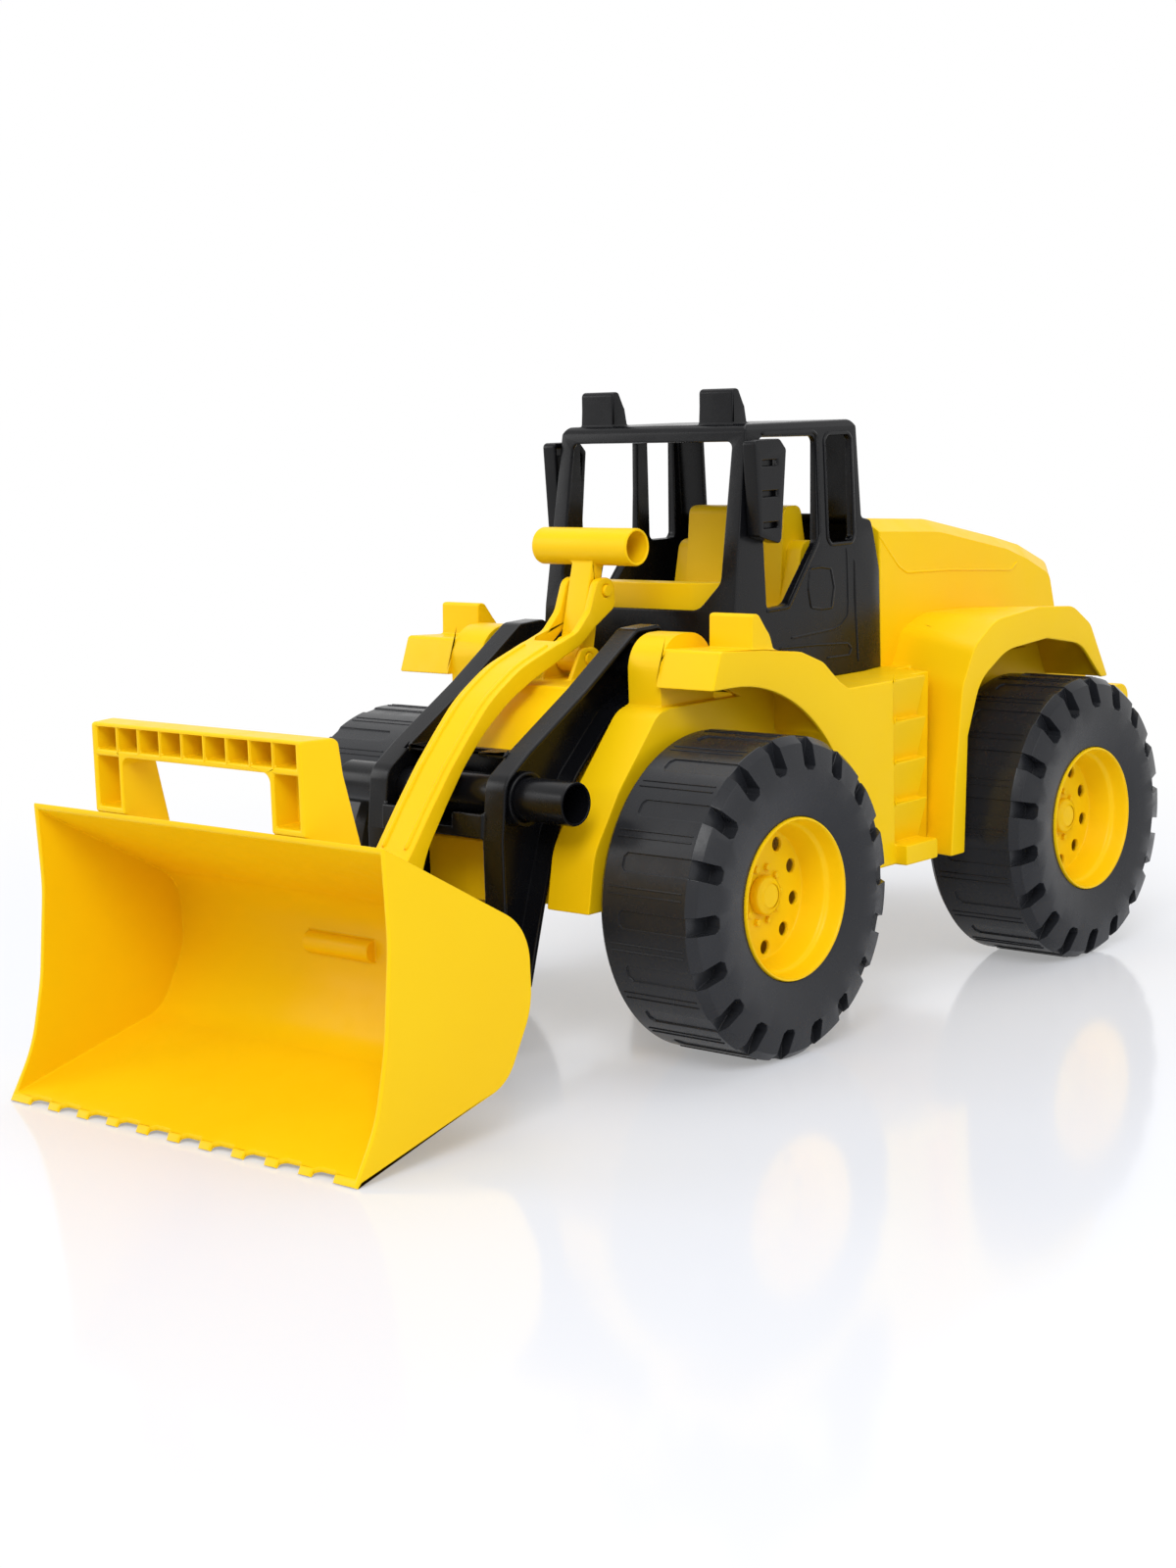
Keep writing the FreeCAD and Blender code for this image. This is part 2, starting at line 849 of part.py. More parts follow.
def cab_shell():
    body = new_body("cab_shell")
    front, rear, roof = s.cab_front, s.cab_rear, s.roof_z
    deck, half = s.deck_z, s.cab_half

    def side_view(foot):
        return [
            (front, foot),
            (rear, foot),
            (rear, 250),
            (198, 281, 4),
            (188.5, 283, 3),
            (186, roof, 6),
            (78.5, roof, 6),
            (front + 2.5, 236),
        ]

    centred_slab(body, side_view(deck), half)
    for first, last in both(33, 58):
        slab(body, [(82, roof - 2), (112, roof - 2), (105, roof + 11, 8), (97, roof + 20.4, 3),
                    (82.5, roof + 20.4, 3)], first, last)
    for side in (1, -1):
        corners = [
            (side * (half + 1), deck - 1),
            (side * (half + 1), roof + 1),
            (side * (s.roof_half - 3), roof + 1),
            (side * s.roof_half, roof - 4),
            (side * (half - 2.5), 236),
            (side * half, deck - 1),
        ]
        cut(body, outline(new_sketch(body, Y_PLANE, -50), corners), 170, backwards=False)
        corners = [
            (side * (half + 1), rear - 25),
            (side * (half + 1), rear + 1),
            (side * s.hood_half, rear + 1),
            (side * s.hood_half, rear),
            (side * half, rear - 25),
        ]
        cut(body, outline(new_sketch(body, Z_PLANE, deck - 1), corners), 110)
    centred_hollow(body, inset(side_view(170), 3), s.roof_half - 4)
    centred_hollow(body, [(front + 4, 170), (182, 170), (182, 232), (front + 5.5, 232)], half - 5)
    centred_hollow(body, [(181, 170), (rear - 3, 170), (rear - 3, 232), (181, 232)], half - 9.5)
    for first, last in both(36, 55):
        hollow(body, [(85, roof - 5), (108, roof - 5), (102, roof + 10), (96, roof + 17.4),
                      (85.3, roof + 17.4)], first, last)
    pane = s.pillar_z
    windscreen = outline(new_sketch(body, Y_PLANE, -40), [
        (-61, 252, 8), (-46, 236, 12), (46, 236, 12), (61, 252, 8), (61, pane, 4), (-61, pane, 4)])
    cut(body, windscreen, 60, backwards=False)
    back_pane = outline(new_sketch(body, Y_PLANE, -160), [
        (-47, 285, 4), (47, 285, 4), (47, pane + 1, 4), (-47, pane + 1, 4)])
    cut(body, back_pane, 45, backwards=False)
    centred_hollow(body, [(91.5, 235, 3), (111.5, 236, 10), (142, 270.5, 6), (144, pane + 1, 4),
                          (90, pane + 2, 4)], half + 5)
    centred_hollow(body, [(154, 269.6, 4), (179, 269.6, 4), (179, pane + 1, 4),
                          (154, pane + 1, 4)], half + 5)


def cab_interior():
    """Floor, dashboard and driver's seat in one open moulding."""
    body = new_body("cab_interior")
    deck = s.deck_z
    front = s.cab_front
    centred_slab(body, [(front + 7, deck), (196, deck), (196, deck + 3), (front + 7, deck + 3)], 66)
    dash = outline(new_sketch(body, Z_PLANE, deck + 2), [
        (-60, front + 30), (-60, front + 22, 8), (-36, front + 10, 20), (0, front + 6, 60),
        (36, front + 10, 20), (60, front + 22, 8), (60, front + 30), (36, front + 22, 18),
        (-36, front + 22, 18)])
    pad(body, dash, 59)
    centred_slab(body, [(118, deck + 2), (190, deck + 2), (176, deck + 80, 8), (160, deck + 80, 8),
                        (150, deck + 38), (118, deck + 38, 6)], 48)
    centred_slab(body, [(150, deck + 30), (184, deck + 30), (174, 291, 6), (157, 291, 6)], 37)
    centred_hollow(body, [(121, deck - 5), (185, deck - 5), (173, deck + 77), (162, deck + 77),
                          (152, deck + 35), (121, deck + 35)], 45)


def mirror_plates():
    """Slotted plates that stand off the cab's front posts."""
    for name, side in (("left", 1), ("right", -1)):
        body = new_body(f"mirror_{name}")
        low, high = s.cab_half - 3.4, s.cab_half + 6
        first, last = (low, high) if side > 0 else (-high, -low)
        slab(body, [(75, 278), (94, 273), (96, 276), (102, 327), (96, 333, 3), (72, 333, 3)],
             first, last)
        first, last = (low - 1, high - 2.5) if side > 0 else (-high + 2.5, -low + 1)
        hollow(body, [(78, 281), (91, 277.5), (98.5, 324), (94, 330), (75, 330)], first, last)
        for level in (284, 302, 319.5):
            hollow(body, [(79, level - 1.6), (93, level - 1.6), (93, level + 1.6),
                          (79, level + 1.6)], -high - 1, high + 1)


# ---------------------------------------------------------------- loader linkage

ARM_OUTLINE = [
    (-96, 44),
    (-81, 94, 40),
    (-70, 126, 40),
    (-54, 153, 30),
    (-18, 186, 40),
    (6, 194, 20),
    (27, 206, 12),
    (24, 232, 7),
    (0, 231, 8),
    (-45, 201),
    (-92, 173),
    (-112, 159, 13),
    (-116, 127),
    (-116, 76, 6),
    (-162, 73),
    (-179, 73, 12.9),
    (-179, 47, 12.9),
    (-150, 47),
]


def arm_end():
    """Where the arms carry the bucket."""
    return s.pivot_y - s.arm_reach_y, s.pivot_z - s.arm_reach_z


def lift_frame():
    """Two channel-section arms and the cross member that ties them, in one moulding."""
    body = new_body("lift_frame")
    inner, outer, web = s.arm_inner, s.arm_outer, s.arm_web
    tube_y, tube_z = -94, 147.5
    centred_slab(body, [
        (-118, 128),
        (-79, 128),
        (-79, 171),
        (-95, 171),
        (-95, 168),
        (-82, 168),
        (-82, 131),
        (-115, 131),
        (-114, 141),
        (-117, 141),
    ], inner + 1)
    centred_hollow(body, [(-125, 133), (-84.5, 133), (-84.5, 180), (-125, 180)],
                   s.link_half + 1.5)
    end_y, end_z = arm_end()
    for first, last in both(inner, outer):
        slab(body, ARM_OUTLINE, first, last)
    for first, last in both(inner + web, outer + 1):
        hollow(body, inset(ARM_OUTLINE, 3), first, last)
    for first, last in both(inner, outer):
        rod(body, s.pivot_y, s.pivot_z, s.arm_pin_radius + 5, first, last)
        rod(body, end_y, end_z, s.bucket_pin_radius + 5, first, last)
        rod(body, tube_y, tube_z, s.stub_radius + 3, first, last)
        bore(body, s.pivot_y, s.pivot_z, s.arm_pin_radius + s.running_gap, first, last)
        bore(body, end_y, end_z, s.bucket_pin_radius + s.running_gap, first, last)
        bore(body, tube_y, tube_z, s.stub_radius, first, last)


def cross_tube():
    body = new_body("cross_tube")
    end = s.stub_end
    rod(body, -94, 147.5, s.stub_radius - 0.1, -end, end)
    bore(body, -94, 147.5, s.stub_bore, -end - 1, end + 1)


def arm_pins():
    """A pivot pin for each arm, headed on the inside."""
    body = new_body("arm_pins")
    for side in (1, -1):
        head, end = s.arm_inner - 1.3, s.hump_outer - 1.7
        first, last = (head, end) if side > 0 else (-end, -head)
        rod(body, s.pivot_y, s.pivot_z, s.arm_pin_radius, first, last)
        flat = s.arm_inner - 0.15
        first, last = (head, flat) if side > 0 else (-flat, -head)
        rod(body, s.pivot_y, s.pivot_z, s.arm_pin_radius + 2, first, last)


def lever_pin():
    body = new_body("lever_pin")
    end = s.stem_half + 4.6
    rod(body, s.pivot_y, s.pivot_z, s.link_pin_radius, -end, end)


def tilt_lever():
    """Upright lever with a hollow cross grip."""
    body = new_body("tilt_lever")
    y, z, half = s.pivot_y, s.pivot_z, s.stem_half
    grip_y, grip_z = y + 16.5, z + 63
    pin_y, pin_z = y + s.lever_reach_y, z + s.lever_reach_z
    centred_slab(body, [
        (y - 6.6, z - 4),
        (y + 6.6, z - 4),
        (grip_y + 5, grip_z),
        (grip_y - 5, grip_z),
    ], half)
    rod(body, y, z, 7.8, -half, half)
    rod(body, pin_y, pin_z, 7.5, -half, half)
    rod(body, grip_y, grip_z, s.grip_radius, -s.grip_half, s.grip_half)
    bore(body, grip_y, grip_z, s.grip_bore, -s.grip_half - 1, s.grip_half + 1)
    bore(body, y, z, s.link_pin_radius + s.running_gap, -half - 1, half + 1)
    bore(body, pin_y, pin_z, s.link_pin_radius + s.running_gap, -half - 1, half + 1)


def link_pin_lever():
    body = new_body("link_pin_lever")
    end = s.link_half + 1.4
    rod(body, s.pivot_y + s.lever_reach_y, s.pivot_z + s.lever_reach_z,
        s.link_pin_radius, -end, end)


def tilt_link():
    """Curved bar from the bucket, forked at the top to pass both sides of the lever."""
    body = new_body("tilt_link")
    half = s.link_half
    end_y, end_z = arm_end()
    eye_y, eye_z = end_y + s.lever_reach_y, end_z + s.lever_reach_z
    pin_y, pin_z = s.pivot_y + s.lever_reach_y, s.pivot_z + s.lever_reach_z
    centred_slab(body, [
        (eye_y - 9, eye_z - 9, 8.9),
        (eye_y + 9, eye_z - 9, 8.9),
        (-137, 117.5, 60),
        (-118.5, 143.5, 90),
        (-103, 163.5, 90),
        (-86, 180.5, 90),
        (-66, 195, 90),
        (-46, 205, 60),
        (-20, 215),
        (-20, 224.5),
        (-26, 223),
        (-56, 213, 80),
        (-82, 197, 90),
        (-99, 180, 90),
        (-114, 164, 90),
        (-131, 143, 90),
        (-147, 122, 60),
        (eye_y - 9, eye_z + 9, 12),
    ], half)
    for first, last in both(s.stem_half + 0.8, half):
        slab(body, [
            (-22, 214.3),
            (-5, 220.5, 14),
            (8, 230, 14),
            (pin_y + 7.5, pin_z - 10, 6),
            (pin_y + 7.5, pin_z + 7.5, 7.4),
            (pin_y - 7.5, pin_z + 7.5, 7.4),
            (3, 239, 12),
            (-8, 228.5, 14),
            (-22, 224),
        ], first, last)
        bore(body, pin_y, pin_z, s.link_pin_radius + s.running_gap, first, last)
    bore(body, eye_y, eye_z, s.link_pin_radius + 0.3, -half, half)


# ---------------------------------------------------------------- bucket

def bucket_shell():
    body = new_body("bucket_shell")
    half, wall = s.bucket_half, s.bucket_wall
    tip, lip, rise = -s.bucket_tip_y, -s.bucket_lip_y, s.bucket_lip_z
    back = [(-203, 27, 25), (-183.5, 62, 40), (-184, 103, 30)]
    centred_slab(body, [(tip, 0.3)] + back + [
        (lip, rise),
        (lip + 2, rise - 46, 120),
        (lip - 3, 62, 120),
        (-292, 27, 80),
        (tip + 0.5, 0.8),
    ], half)
    slope = (float(rise) - 103) / (float(lip) + 184)
    floor = (27 - 0.3) / (-203 - float(tip))
    mouth = -345
    centred_hollow(body, inset(
        [(mouth, 27 + floor * (mouth + 203))] + back + [(mouth, 103 + slope * (mouth + 184))],
        wall), half - wall)
    # stop bead on the inside of the back wall
    centred_slab(body, [(-193, 72, 5.9), (-185.5, 72), (-185.5, 84), (-193, 84, 5.9)], 25)
    # wavy cutting edge
    gaps = int(float(s.tooth_gaps))
    pitch = half * 2 / (s.tooth_gaps + 1)
    sketch = new_sketch(body, Z_PLANE, 9)
    root = tip + s.tooth_depth
    for gap in range(gaps):
        middle = -half + pitch * (gap + 1)
        outline(sketch, [
            (middle - 6.5, root, 3.5),
            (middle - 9.5, tip - 6),
            (middle + 9.5, tip - 6),
            (middle + 6.5, root, 3.5),
        ])
    cut(body, sketch, 14, backwards=False)
    # lugs for the arms and for the tilt link
    end_y, end_z = arm_end()
    eye_y, eye_z = end_y + s.lever_reach_y, end_z + s.lever_reach_z
    for inner, outer in ((s.arm_inner - 5, s.arm_inner - 1), (s.arm_outer + 1, s.arm_outer + 5)):
        for first, last in both(inner, outer):
            slab(body, [
                (-192.4, 46),
                (end_y + 10, end_z - 10, 9.9),
                (end_y + 10, end_z + 10, 9.9),
                (-186, 88),
                (-186, 64),
            ], first, last)
            bore(body, end_y, end_z, s.bucket_pin_radius + s.running_gap, first, last)
    for first, last in both(s.link_half + 0.6, s.link_half + 4.2):
        slab(body, [
            (-185.7, 76),
            (eye_y + 9, eye_z - 9, 8.9),
            (eye_y + 9, eye_z + 9, 8.9),
            (-202, 111.2),
            (-190, 100.4),
            (-186.2, 90),
        ], first, last)
        bore(body, eye_y, eye_z, s.link_pin_radius, first, last)


def bucket_handle():
    """Open guard frame that stands on the bucket's upper slope."""
    body = new_body("bucket_handle")
    front, top, half = -s.bucket_lip_y, s.handle_top, s.handle_half
    lip = s.bucket_lip_z
    slope = (s.bucket_lip_z - 103) / (s.bucket_lip_y - 184)
    depth = 32
    centred_slab(body, [
        (front, lip),
        (front + depth, lip - slope * depth),
        (front + 22, lip + 28, 30),
        (front + 20, top, 4),
        (front, top, 2),
    ], half)
    for side in (1, -1):
        corners = [
            (side * (half - 9), front - 1),
            (side * (half + 1), front - 1),
            (side * (half + 1), front + depth + 1),
            (side * half, front + depth + 1),
        ]
        cut(body, outline(new_sketch(body, Z_PLANE, 120), corners), 100)
    window = outline(new_sketch(body, Y_PLANE, -front + 5), [
        (-56, 120), (56, 120), (56, top - 17, 5), (-56, top - 17, 5)])
    cut(body, window, 60, backwards=False)
    cells = int(float(s.handle_cells))
    span = 152
    rib = 1.4
    sketch = new_sketch(body, Y_PLANE, -front)
    for cell in range(cells):
        left = -span / 2 + span / cells * cell + rib / 2
        right = left + span / cells - rib
        outline(sketch, [(left, top - 13.5), (right, top - 13.5), (right, top - 2),
                         (left, top - 2)])
    cut(body, sketch, 16, backwards=False)
    sketch = new_sketch(body, Y_PLANE, -front)
    for side in (1, -1):
        outline(sketch, [(side * 59, lip + 3), (side * 76, lip + 3), (side * 76, top - 17),
                         (side * 59, top - 17)])
    cut(body, sketch, 15, backwards=False)


def bucket_pins():
    body = new_body("bucket_pins")
    end_y, end_z = arm_end()
    for first, last in both(s.arm_inner - 5.8, s.arm_outer + 5.8):
        rod(body, end_y, end_z, s.bucket_pin_radius, first, last)


def link_pin_bucket():
    body = new_body("link_pin_bucket")
    end_y, end_z = arm_end()
    end = s.link_half + 5
    rod(body, end_y + s.lever_reach_y, end_z + s.lever_reach_z, s.link_pin_radius, -end, end)


# ---------------------------------------------------------------- build, check and write

body_shell()
cab_shell()
cab_interior()
mirror_plates()
for name, side, along, turn in WHEELS:
    tyre(name, side, along, turn)
    rim(name, side, along)
    hub_cap(name, side, along)
for name, along in (("front", Size(0, "0")), ("rear", s.wheelbase)):
    axle(name, along)
    axle_nuts(name, along)
lift_frame()
cross_tube()
arm_pins()
lever_pin()
tilt_lever()
link_pin_lever()
tilt_link()
bucket_shell()
bucket_handle()
bucket_pins()
link_pin_bucket()

doc.recompute()

for item in doc.Objects:
    for state in item.State:
        if state in ("Invalid", "Error"):
            raise RuntimeError(f"{item.Label}: {state}")

os.makedirs("parts", exist_ok=True)
for item in doc.findObjects("PartDesign::Body"):
    shape = item.Shape
    if shape.isNull() or not shape.isValid() or not shape.Solids:
        raise RuntimeError(f"{item.Label} has no sound solid")
    print(item.Label, len(shape.Solids), round(shape.Volume / 1000, 1), "cm3")
    shape.exportStep(f"parts/{item.Label}.step")
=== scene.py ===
import json
import math

import bpy
from mathutils import Matrix, Vector


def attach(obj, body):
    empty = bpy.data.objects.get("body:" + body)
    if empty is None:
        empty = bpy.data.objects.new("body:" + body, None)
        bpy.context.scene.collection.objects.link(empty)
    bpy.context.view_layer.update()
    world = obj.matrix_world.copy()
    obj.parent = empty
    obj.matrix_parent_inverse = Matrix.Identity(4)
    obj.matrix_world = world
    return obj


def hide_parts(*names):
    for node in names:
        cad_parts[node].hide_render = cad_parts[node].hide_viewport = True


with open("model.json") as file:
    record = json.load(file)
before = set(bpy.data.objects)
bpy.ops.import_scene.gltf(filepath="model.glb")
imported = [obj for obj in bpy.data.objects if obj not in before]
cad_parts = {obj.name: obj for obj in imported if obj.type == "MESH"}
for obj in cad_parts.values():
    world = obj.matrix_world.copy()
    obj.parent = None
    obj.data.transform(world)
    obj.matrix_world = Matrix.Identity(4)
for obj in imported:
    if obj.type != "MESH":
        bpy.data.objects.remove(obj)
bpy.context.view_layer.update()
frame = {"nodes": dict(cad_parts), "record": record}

MM = 0.001
AXLE_Y = -71.45 * MM
PHOTO_HEIGHT = 1600
PHOTO_REACH = 2630.0
SENSOR = 36

WELD = 0.02 * MM
FLAT = math.radians(0.5)
SHARP = math.radians(32)
SMOOTH = math.radians(35)
EDGE = 1.2 * MM
SEAT_EDGE = 0.8 * MM
TYRE_EDGE = 0.4 * MM


# ---------------------------------------------------------------- camera, lamps and floor

def look_from(name, place, yaw, pitch, roll, lens):
    data = bpy.data.cameras.new(name)
    camera = bpy.data.objects.new(name, data)
    bpy.context.scene.collection.objects.link(camera)
    turn = Matrix.Rotation(math.radians(yaw), 4, "Z")
    tip = Matrix.Rotation(math.radians(90 - pitch), 4, "X")
    tilt = Matrix.Rotation(math.radians(roll), 4, "Z")
    camera.matrix_world = Matrix.Translation(Vector(place)) @ turn @ tip @ tilt
    data.sensor_width = SENSOR
    data.lens = lens
    data.clip_start = 0.01
    data.clip_end = 50
    bpy.context.scene.camera = camera
    return camera


def soft_lamp(name, place, target, size, watts):
    data = bpy.data.lights.new(name, "AREA")
    data.shape = "RECTANGLE"
    data.size, data.size_y = size
    data.energy = watts
    lamp = bpy.data.objects.new(name, data)
    bpy.context.scene.collection.objects.link(lamp)
    lamp.location = place
    aim = Vector(target) - Vector(place)
    lamp.rotation_euler = aim.to_track_quat("-Z", "Y").to_euler()
    return lamp


# ---------------------------------------------------------------- node helpers

# The Mix node's colour sockets, which share their names with its other sockets.
MIX_FIRST = 6
MIX_SECOND = 7
MIX_RESULT = 2


class Value:
    """A socket that can be added to and multiplied like a number."""

    def __init__(self, sheet, socket):
        self.sheet = sheet
        self.socket = socket

    def _math(self, operation, *others):
        return self.sheet.number(operation, self, *others)

    def __add__(self, other):
        return self._math("ADD", other)

    def __radd__(self, other):
        return self._math("ADD", other)

    def __mul__(self, other):
        return self._math("MULTIPLY", other)

    def __rmul__(self, other):
        return self._math("MULTIPLY", other)

    def high(self, other):
        return self._math("MAXIMUM", other)


class Sheet:
    """The node tree of one material, or of the world."""

    def __init__(self, tree):
        self.nodes = tree.nodes
        self.links = tree.links
        self.place = self.node("ShaderNodeTexCoord").outputs["Object"]

    def node(self, kind, settings=None, inputs=None):
        """A node with its settings, and the values or links of its sockets by name or number."""
        item = self.nodes.new(kind)
        for key, value in (settings or {}).items():
            setattr(item, key, value)
        for key, value in (inputs or {}).items():
            self.put(item.inputs[key], value)
        return item

    def put(self, socket, value):
        if isinstance(value, Value):
            value = value.socket
        if isinstance(value, bpy.types.NodeSocket):
            self.links.new(value, socket)
        else:
            socket.default_value = value

    def number(self, operation, *parts):
        item = self.node("ShaderNodeMath", {"operation": operation}, dict(enumerate(parts)))
        return Value(self, item.outputs[0])

    def axes(self):
        item = self.node("ShaderNodeSeparateXYZ", None, {"Vector": self.place})
        return [Value(self, item.outputs[axis]) for axis in "XYZ"]

    def shown_directly(self):
        """One where the eye, a reflection or a clear piece shows the surface itself."""
        rays = self.node("ShaderNodeLightPath").outputs
        seen = Value(self, rays["Is Camera Ray"]).high(Value(self, rays["Is Glossy Ray"]))
        return seen.high(Value(self, rays["Is Transmission Ray"]))

    def noise(self, scale, detail=2.0, rough=0.5):
        sockets = {"Vector": self.place, "Scale": scale, "Detail": detail, "Roughness": rough}
        return Value(self, self.node("ShaderNodeTexNoise", None, sockets).outputs[0])

    def span(self, value, low, high, to_low=0.0, to_high=1.0, kind="SMOOTHSTEP"):
        """Maps a value between low and high to one between to_low and to_high."""
        sockets = {"Value": value, "From Min": low, "From Max": high, "To Min": to_low,
                   "To Max": to_high}
        item = self.node("ShaderNodeMapRange", {"interpolation_type": kind}, sockets)
        return Value(self, item.outputs["Result"])

    def blend(self, share, first, second):
        sockets = {"Factor": share, MIX_FIRST: first, MIX_SECOND: second}
        return self.node("ShaderNodeMix", {"data_type": "RGBA"}, sockets).outputs[MIX_RESULT]

    def bump(self, height, depth, strength):
        sockets = {"Height": height, "Distance": depth, "Strength": strength}
        return self.node("ShaderNodeBump", None, sockets).outputs["Normal"]


def finish(name):
    """A new material, its node sheet and its shader."""
    material = bpy.data.materials.new(name)
    material.use_nodes = True
    sheet = Sheet(material.node_tree)
    return material, sheet, sheet.nodes["Principled BSDF"]


def moulded(name, colour, warm, rough, bend):
    """Moulded plastic: faint mottling, fine grain, and slow waves from the mould.

    rough is its middle roughness, and bend its index of refraction.
    """
    material, sheet, shader = finish(name)
    slow = sheet.noise(9.0, 3.0)
    fine = sheet.noise(1400.0, 2.0, 0.6)
    scuff = sheet.noise(60.0, 6.0, 0.7)
    tone = sheet.blend(sheet.span(slow, 0.3, 0.7), colour, warm)
    sheet.put(shader.inputs["Base Color"], tone)
    sheet.put(shader.inputs["Roughness"], sheet.span(scuff, 0.35, 0.75, rough - 0.05, rough + 0.07))
    sheet.put(shader.inputs["Normal"], sheet.bump(fine * 0.7 + slow * 3.0, GRAIN, 0.35))
    shader.inputs["IOR"].default_value = bend
    return material


def drawn_steel(name):
    material, sheet, shader = finish(name)
    streaks = sheet.noise(900.0, 3.0)
    shader.inputs["Base Color"].default_value = (0.55, 0.55, 0.56, 1)
    shader.inputs["Metallic"].default_value = 1.0
    sheet.put(shader.inputs["Roughness"], sheet.span(streaks, 0.3, 0.7, 0.25, 0.45))
    return material


GRAIN = 0.06 * MM
YELLOW = (0.900, 0.585, 0.0030, 1)
YELLOW_WARM = (0.890, 0.555, 0.0025, 1)
BLACK = (0.0026, 0.0028, 0.0038, 1)
BLACK_WARM = (0.0040, 0.0042, 0.0054, 1)
TYRE = (0.0145, 0.0155, 0.0185, 1)
TYRE_WARM = (0.019, 0.020, 0.023, 1)


def materials():
    return {
        "yellow_plastic": moulded("yellow moulding", YELLOW, YELLOW_WARM, 0.38, 1.24),
        "black_plastic": moulded("black moulding", BLACK, BLACK_WARM, 0.27, 1.29),
        "tyre_plastic": moulded("tyre moulding", TYRE, TYRE_WARM, 0.27, 1.31),
        "axle_steel": drawn_steel("drawn steel"),
    }


def dress(finishes):
    for part in frame["record"]["subparts"]:
        item = frame["nodes"][part["node"]]
        for slot in item.material_slots:
            slot.material = finishes[part["material_slot"]]


def lit_sky(strength):
    """White surroundings that light the model at a lower strength than the one they show."""
    world = bpy.data.worlds.new("studio")
    bpy.context.scene.world = world
    world.use_nodes = True
    sky = Sheet(world.node_tree)
    shown = sky.shown_directly()
    back = sky.nodes["Background"]
    back.inputs["Color"].default_value = (1, 1, 1, 1)
    sky.put(back.inputs["Strength"], sky.span(shown, 0, 1, strength, 1.0, "LINEAR"))


def studio_floor():
    """Pale glossy floor that fades to white round the model and keeps its shadow."""
    bpy.ops.mesh.primitive_plane_add(size=14, location=(0, 0, 0))
    floor = bpy.context.object
    floor.name = "studio_floor"
    material = bpy.data.materials.new("studio floor")
    material.use_nodes = True
    sheet = Sheet(material.node_tree)
    x, y, _ = sheet.axes()
    reach = sheet.number("SQRT", x * x + y * y)
    shader = sheet.nodes["Principled BSDF"]
    shader.inputs["Base Color"].default_value = (0.76, 0.785, 0.86, 1)
    shader.inputs["Roughness"].default_value = 0.10
    shader.inputs["IOR"].default_value = 1.45
    glow = sheet.node("ShaderNodeEmission", None, {"Color": (1, 1, 1, 1), "Strength": 1.0})
    share = sheet.shown_directly() * sheet.span(reach, 0.40, 1.05, 0.30, 1.0)
    sockets = {0: share, 1: shader.outputs[0], 2: glow.outputs[0]}
    mixed = sheet.node("ShaderNodeMixShader", None, sockets)
    sheet.put(sheet.nodes["Material Output"].inputs["Surface"], mixed.outputs[0])
    floor.data.materials.append(material)


def studio():
    lit_sky(0.60)
    studio_floor()
    soft_lamp("key", (1.6, -2.2, 2.4), (0, 0, 0.15), (1.6, 1.6), 64)
    soft_lamp("top", (-0.4, 0.4, 3.0), (0, 0, 0.1), (2.4, 2.4), 28)
    soft_lamp("left fill", (-2.6, -1.6, 1.2), (0, 0, 0.15), (1.5, 1.5), 22)
    soft_lamp("right fill", (2.8, 0.5, 1.1), (0, 0, 0.15), (1.5, 1.5), 11)


# ---------------------------------------------------------------- mouldings

def alone(piece):
    """Selects one piece and nothing else."""
    bpy.ops.object.select_all(action="DESELECT")
    bpy.context.view_layer.objects.active = piece
    piece.select_set(True)


def mould_place(point):
    """A point's distance in millimetres: |x| from the middle, y from the front axle, and z."""
    return abs(point[0]) / MM, (point[1] - AXLE_Y) / MM, point[2] / MM


def pick(piece, kind, chosen):
    """In edit mode, selects the vertices or faces that a test of their place and normal passes."""
    bpy.ops.mesh.select_mode(type=kind)
    bpy.ops.mesh.select_all(action="DESELECT")
    bpy.ops.object.mode_set(mode="OBJECT")
    if kind == "FACE":
        for face in piece.data.polygons:
            face.select = chosen(mould_place(face.center), face.normal)
    else:
        for corner in piece.data.vertices:
            corner.select = chosen(mould_place(corner.co), corner.normal)
    bpy.ops.object.mode_set(mode="EDIT")


def narrow_lamps(piece, near, far, moves):
    """Makes a pair of lamp housings shallower. near and far are their sides' distances.

    moves lists (low, high, behind, y, z): how far the corners between two heights and up to
    25 mm behind a place move.
    """
    for low, high, behind, along, rise in moves:
        def back(place, normal):
            x, y, z = place
            return near < x < far and behind < y < behind + 25 and low < z <= high
        pick(piece, "VERT", back)
        bpy.ops.transform.translate(value=(0, along * MM, rise * MM))


def shape_body(piece):
    moves = [(215.5, 222, 45, -12, 1.7), (222, 236, 30.9, -12, 0), (236, 245, 30.9, -9.5, 0)]
    narrow_lamps(piece, 87.5, 119.5, moves)


def shape_cab(piece):
    moves = [(338.5, 345, 94, -15, 0), (345, 357, 94, -11.5, 0), (357, 365, 94, -9, 0)]
    narrow_lamps(piece, 32, 59, moves)


def stays_sharp(place):
    """Where two mouldings' surfaces run into each other at a slant and leave no room to round."""
    x, y, z = place
    fender_root = 67 < x < 74 and z > 186 and y > 205
    hump_side = 79 < x < 81 and z > 186 and y < 33
    return fender_root or hump_side


def mark_soft_edges(piece):
    """In edit mode, marks the edges that the mould rounds."""
    bpy.ops.mesh.select_mode(type="EDGE")
    bpy.ops.mesh.select_all(action="DESELECT")
    bpy.ops.mesh.edges_select_sharp(sharpness=SHARP)
    bpy.ops.object.mode_set(mode="OBJECT")
    corners = piece.data.vertices
    for edge in piece.data.edges:
        if piece.name.startswith("body") and all(
                stays_sharp(mould_place(corners[i].co)) for i in edge.vertices):
            edge.select = False
    bpy.ops.object.mode_set(mode="EDIT")
    bpy.ops.transform.edge_bevelweight(value=1)


